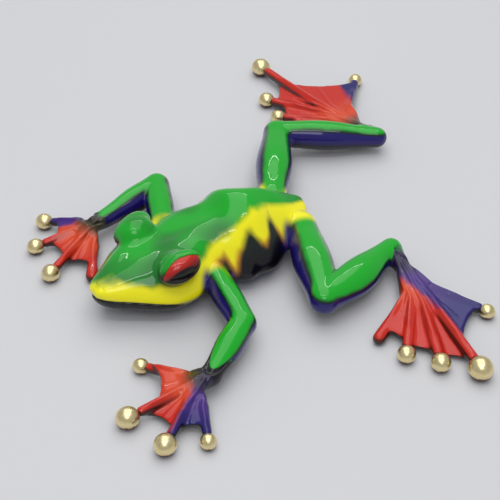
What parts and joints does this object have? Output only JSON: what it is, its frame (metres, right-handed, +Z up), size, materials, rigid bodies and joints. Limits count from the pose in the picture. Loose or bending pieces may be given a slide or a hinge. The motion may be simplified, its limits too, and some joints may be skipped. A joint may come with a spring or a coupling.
{
  "type": "frog figurine",
  "caption": "Enamelled cast-bronze tree frog ornament, lying low with spread webbed hands and feet on polished round toe pads.",
  "frame": {"origin": "on the surface that the frog rests on, under the middle of its bounding box", "axes": "+Z up, -Y the way the nose points, +X towards the frog's own left"},
  "size_m": [0.2198, 0.1996, 0.0293],
  "materials": {
    "skin_enamel": "gloss lacquer over green, yellow and black enamel",
    "underside_enamel": "gloss lacquer over black and indigo enamel",
    "limb_enamel": "gloss lacquer over green enamel that fades to indigo below",
    "web_enamel": "gloss lacquer over red-orange enamel that fades to indigo and brown",
    "eye_enamel": "gloss lacquer over red and black enamel",
    "polished_bronze": "polished bare bronze under clear lacquer"
  },
  "bodies": {
    "root": {"body_shell": "skin_enamel", "belly_plate": "underside_enamel", "eye_left": "eye_enamel", "arm_left": "limb_enamel", "leg_left": "limb_enamel", "hand_left": "web_enamel", "foot_left": "web_enamel", "eye_right": "eye_enamel", "arm_right": "limb_enamel", "leg_right": "limb_enamel", "hand_right": "web_enamel", "foot_right": "web_enamel", "pad_hand_left_1": "polished_bronze", "pad_hand_left_2": "polished_bronze", "pad_hand_left_3": "polished_bronze", "pad_hand_left_4": "polished_bronze", "pad_hand_right_2": "polished_bronze", "pad_hand_right_3": "polished_bronze", "pad_hand_right_4": "polished_bronze", "pad_foot_left_2": "polished_bronze", "pad_foot_left_3": "polished_bronze", "pad_foot_left_4": "polished_bronze", "pad_foot_left_5": "polished_bronze", "pad_foot_right_2": "polished_bronze", "pad_foot_right_3": "polished_bronze", "pad_foot_right_4": "polished_bronze", "pad_foot_right_5": "polished_bronze"}
  },
  "joints": []
}
